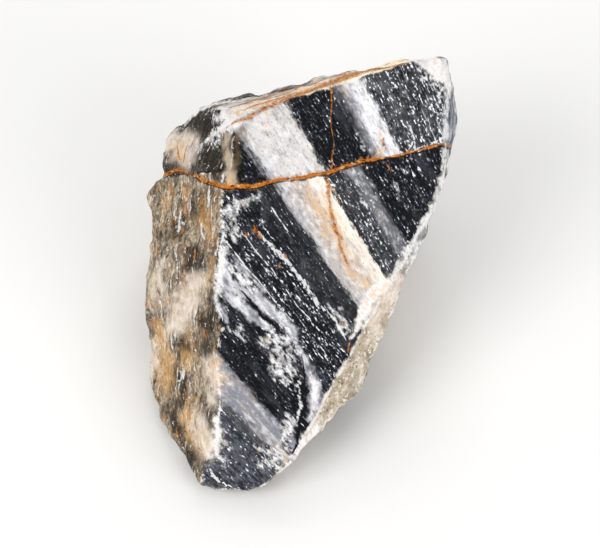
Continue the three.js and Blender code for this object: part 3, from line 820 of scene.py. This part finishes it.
    # Washes on the skin: ochre, cream and dark, with rust, lime and carbon threads running down through them.
    # The threads stay off the cream.
    washed = cloud(tree, flow, (3.2, 7.0, 4.0), 6.0)
    colour = marked(tree, colour, ("#d8a868", at["ochre"], washed, 7.0, 2.8, 0.7))
    on_coat = add(tree, "MapRange", at["in_coat"], -0.5, 1.0)
    on_skin = add(tree, "Math MAXIMUM", at["in_coat"], at["in_knob"])
    on_skin = add(tree, "MapRange", on_skin, -0.5, 1.0)
    colour = grained(
        tree, colour, flow,
        ("#4a3f30", (1.2, 2.4, 1.2), 0.50, 0.70, 6.0, on_coat, 0.5),
        ("#f2e7d6", (1.4, 2.8, 1.4), 0.53, 0.70, 6.0, on_coat, 0.5))
    cream = inside(tree, at["pale"], washed, 7.0, 3.0)
    limy = mottled(
        tree, flow, (2.6, 4.0, 2.6), 6.0,
        (0.36, "#cfbaa3"), (0.45, "#dfcfbd"), (0.53, finish.pale), (0.62, "#f2e9de"), (0.70, "#e2cbaf"))
    colour = coat_with(tree, colour, limy, cream, 0.88)
    colour = marked(tree, colour, ("#2f2a25", at["smudge"], washed, 5.5, 2.2, 0.9))
    bare = add(tree, "MapRange", cream, 0.95, 0.45)
    on_coat = add(tree, "Math MULTIPLY", on_coat, bare)
    on_skin = add(tree, "Math MULTIPLY", on_skin, bare)
    groups = grains(tree, slope, (9, 16, 9), 0.44, 0.58, 3.0)
    grouped = add(tree, "Math MULTIPLY", on_skin, groups)
    colour = grained(
        tree, colour, flow,
        ("#bd7f40", (1.9, 7.0, 2.0), 0.60, 0.67, 3.0, on_coat, 0.75),
        ("#f0ebe2", (1.3, 12.0, 1.6), 0.60, 0.65, 3.0, grouped, 0.85),
        ("#2b2621", (1.2, 7.0, 1.6), 0.59, 0.66, 3.0, grouped, 0.75),
        ("#f4efe6", (1.0, 1.5, 1.2), 0.66, 0.71, 3.0, on_skin, 0.85),
        ("#2b2621", (1.0, 1.3, 1.0), 0.64, 0.70, 3.0, on_skin, 0.5),
        ("#cf8a3e", (1.3, 1.6, 1.3), 0.66, 0.71, 3.0, on_coat, 0.9))
    colour = marked(
        tree, colour,
        ("#c9b69e", at["beige"], washed, 5.0, 1.8, 0.85),
        ("#6c563b", at["olive"], washed, 4.0, 1.7, 0.85))

    # Knocked edges are bruised white: a broken line along the ridge and the rim, and chips on other edges.
    off_front = add(tree, "Math MAXIMUM", at["in_front"], at["in_knob"])
    off_front = add(tree, "MapRange", off_front, 0.6, -0.2)
    bruises = (("rim", 0.4, 1.4, 0.85), ("ridge", 0.1, 4.0, 0.6), ("edge", 0.2, 2.0, off_front))
    for name, width, reach, share in bruises:
        bruise = add(tree, "Math SUBTRACT", at[name], width)
        colour = marked(tree, colour, ("#e6e1d9", bruise, broken, reach, 0.4, share))

    # Veins, clots and threads of white calcite with sugary rims, half-clear quartz, and wavy black veins.
    clear = mottled(
        tree, bed, (7, 2.2, 3), 6.0,
        (0.34, "#75767d"), (0.43, "#9c9ca3"), (0.51, finish.quartz), (0.59, "#dbdadc"), (0.68, "#f3f2f2"))
    clear = grained(tree, clear, bed, ("#2a2a2d", (1.6, 0.8, 1.0), 0.63, 0.70, 2.0, 0.7))
    clots = mottled(
        tree, bed, (1.5, 0.9, 1.1), 4.0,
        (0.38, "#f6f5f3"), (0.50, "#d6d4d3"), (0.60, "#a09fa2"), (0.70, "#4c4c50"))
    milky = mottled(
        tree, bed, (4, 2, 3), 6.0,
        (0.34, "#d8d2d2"), (0.46, "#eee9e5"), (0.56, "#faf7f4"), (0.66, "#e6dacd"))
    sugar = cloud(tree, bed, (1.9, 1.0, 1.2), 5.0)
    uneven = add(tree, "Math MULTIPLY_ADD", ragged, -8.0, 4.0)
    uneven = add(tree, "Math ADD", uneven, at["white"])
    colour = marked(
        tree, colour,
        (clear, at["quartz"], broken, 2.4, 0.9, 0.92),
        (clots, uneven, sugar, 4.0, 0.9, 0.95),
        (milky, at["milk"], broken, 2.4, 0.8, 0.95),
        ("#e8e7e6", line(tree, at, "thread"), crystal, 1.6, 0.25, 0.85),
        ("#131416", line(tree, at, "black"), sugar, 0.9, 0.15))

    # Rust in the cracks and along the crest: orange over a dark crust, with a thin stain beside it, and a
    # painted shadow as a thin dark line along the crack's lower edge.
    rusty = grained(
        tree, linear(finish.rust), slope,
        (finish.rust_dark, (2.2, 1.0, 1.4), 0.50, 0.62, 4.0),
        ("#e9b068", (2.0, 1.0, 1.4), 0.54, 0.64, 3.0))
    stained = inside(tree, at["stain"], ragged, 6.0, 1.8)
    colour = grained(tree, colour, bed, ("#e9b981", (3.4, 1.6, 2.2), 0.34, 0.58, 5.0, stained, 0.72))
    beside = add(tree, "Math SUBTRACT", at["crack"], 0.3)
    # Painted shadow: a thin dark brown line just under the crack, where its lower lip shades the groove.
    shadow_below_crack = add(tree, "Math ADD", at["crack_side"], 0.85)
    shadow_below_crack = add(tree, "Math ABSOLUTE", shadow_below_crack)
    shadow_below_crack = add(tree, "Math SUBTRACT", shadow_below_crack, 0.3)
    wander = cloud(tree, slope, 2.6, 3.0)
    seam = add(tree, "Math ABSOLUTE", at["crack_side"])
    seam = add(tree, "Math SUBTRACT", seam, at["crack_half"])
    seam = add(tree, "Math MULTIPLY_ADD", wander, -1.2, seam)
    seam = add(tree, "Math ADD", seam, 0.6)
    run = line(tree, at, "rust")
    crust = add(tree, "Math SUBTRACT", run, 0.3)
    colour = marked(
        tree, colour,
        ("#b9823f", beside, sugar, 2.6, 0.4, 0.55),
        # painted shadow along the crack's lower edge
        ("#241407", shadow_below_crack, wander, 1.2, 0.2, 0.85),
        (rusty, seam, sugar, 0.6, 0.2),
        ("#6b4216", crust, sugar, 0.8, 0.4, 0.5),
        (rusty, run, sugar, 1.4, 0.25, 0.85))

    # Grain too fine for the mesh: crystal faces on the break, pitted skin on the weathered sides.
    height = add(tree, "Math MULTIPLY_ADD", cloud(tree, slope, 1.4, 5.0), 1.2, crystal)
    bump = add(tree, "Bump", named={"Strength": 0.7, "Distance": 0.0008, "Height": height})
    gloss = add(tree, "MapRange", crystal, 0.3, 0.7, 0.45, 0.75)
    shader = add(tree, "BsdfPrincipled", named={
        "Base Color": colour, "Roughness": gloss, "Normal": bump, "IOR": 1.55, "Specular IOR Level": 0.05,
    })
    add(tree, "OutputMaterial", shader, out=None)
    return material


class ROCK_OT_stone(bpy.types.Operator):
    """Makes the stone from its broken faces and gives it its marble finish"""
    bl_idname = "rock.stone"
    bl_label = "Make the stone"

    def execute(self, context):
        points, quads, to_zone, edge = rock_surface(context.scene.rock_shape)
        stone = put_mesh("stone", points, quads)
        named, bed = marks(points, to_zone, edge)
        for name, values in named.items():
            layer = stone.data.attributes.new(name, "FLOAT", "POINT")
            layer.data.foreach_set("value", values.astype(np.float32))
        layer = stone.data.attributes.new("bed", "FLOAT_VECTOR", "POINT")
        layer.data.foreach_set("vector", bed.astype(np.float32).ravel())
        stone.data.materials.append(marble_material(context.scene.rock_finish, named))
        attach(stone, "root")
        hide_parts("rock")
        return {"FINISHED"}


class ROCK_OT_stage(bpy.types.Operator):
    """Makes the pale floor, the soft studio lights and the camera"""
    bl_idname = "rock.stage"
    bl_label = "Make the stage"

    def execute(self, context):
        stage = context.scene.rock_stage
        corners = np.array([(-1, -1, 0), (1, -1, 0), (-1, 1, 0), (1, 1, 0)]) * FLOOR_HALF - (0, 0, FLOOR_DROP)
        floor = put_mesh("floor", corners, np.array([[0, 1, 3, 2]]))
        # Matt paper: dull and even, so it only shows the stone's soft shadow.
        paper = bpy.data.materials.new("matt studio paper")
        paper.use_nodes = True
        surface = paper.node_tree.nodes["Principled BSDF"]
        paint = {"Base Color": linear(stage.floor), "Roughness": 0.9, "Specular IOR Level": 0.1}
        for name, value in paint.items():
            surface.inputs[name].default_value = value
        floor.data.materials.append(paper)
        world = bpy.data.worlds.new("studio")
        world.use_nodes = True
        sky = world.node_tree.nodes["Background"]
        sky.inputs["Color"].default_value = linear(stage.sky)
        sky.inputs["Strength"].default_value = stage.sky_power
        context.scene.world = world
        lights = (
            ("left light", (-0.60, -0.50, 0.62), stage.left),
            ("right light", (0.70, -0.60, 0.45), stage.right),
            ("back light", (0.15, 0.85, 0.60), stage.back),
        )
        for name, spot, power in lights:
            lamp = bpy.data.lights.new(name, "AREA")
            lamp.size = LIGHT_SIZE
            lamp.energy = power
            made = bpy.data.objects.new(name, lamp)
            made.location = spot
            aim = LIGHT_AIM - np.array(spot)
            yaw = math.atan2(aim[1], aim[0]) - math.pi / 2
            made.rotation_euler = (math.acos(-aim[2] / np.linalg.norm(aim)), 0, yaw)
            context.scene.collection.objects.link(made)
        lens = bpy.data.cameras.new("camera")
        lens.lens = stage.lens
        lens.sensor_width = SENSOR
        camera = bpy.data.objects.new("camera", lens)
        back = np.array([0, -math.cos(stage.elevation), math.sin(stage.elevation)])
        camera.location = np.array(stage.target) + stage.distance * back
        camera.rotation_euler = (math.pi / 2 - stage.elevation, 0, 0)
        context.scene.collection.objects.link(camera)
        context.scene.camera = camera
        context.scene.view_settings.view_transform = "Standard"
        return {"FINISHED"}


class ROCK_PT_panel(bpy.types.Panel):
    bl_label = "Aquascaping rock"
    bl_space_type = "VIEW_3D"
    bl_region_type = "UI"
    bl_category = "Rock"

    def draw(self, context):
        for name, label in (("rock_shape", "Shape"), ("rock_finish", "Finish"), ("rock_stage", "Stage")):
            column = self.layout.box().column()
            column.label(text=label)
            group = getattr(context.scene, name)
            for key in group.__annotations__:
                column.prop(group, key)
        self.layout.operator("rock.stone")
        self.layout.operator("rock.stage")


CLASSES = (RockShape, RockFinish, StageSettings, ROCK_OT_stone, ROCK_OT_stage, ROCK_PT_panel)


def register():
    for cls in CLASSES:
        bpy.utils.register_class(cls)
    bpy.types.Scene.rock_shape = PointerProperty(type=RockShape)
    bpy.types.Scene.rock_finish = PointerProperty(type=RockFinish)
    bpy.types.Scene.rock_stage = PointerProperty(type=StageSettings)


def unregister():
    for name in ("rock_shape", "rock_finish", "rock_stage"):
        delattr(bpy.types.Scene, name)
    for cls in reversed(CLASSES):
        bpy.utils.unregister_class(cls)


def main():
    register()
    bpy.ops.rock.stone()
    bpy.ops.rock.stage()


if __name__ == "__main__":
    main()
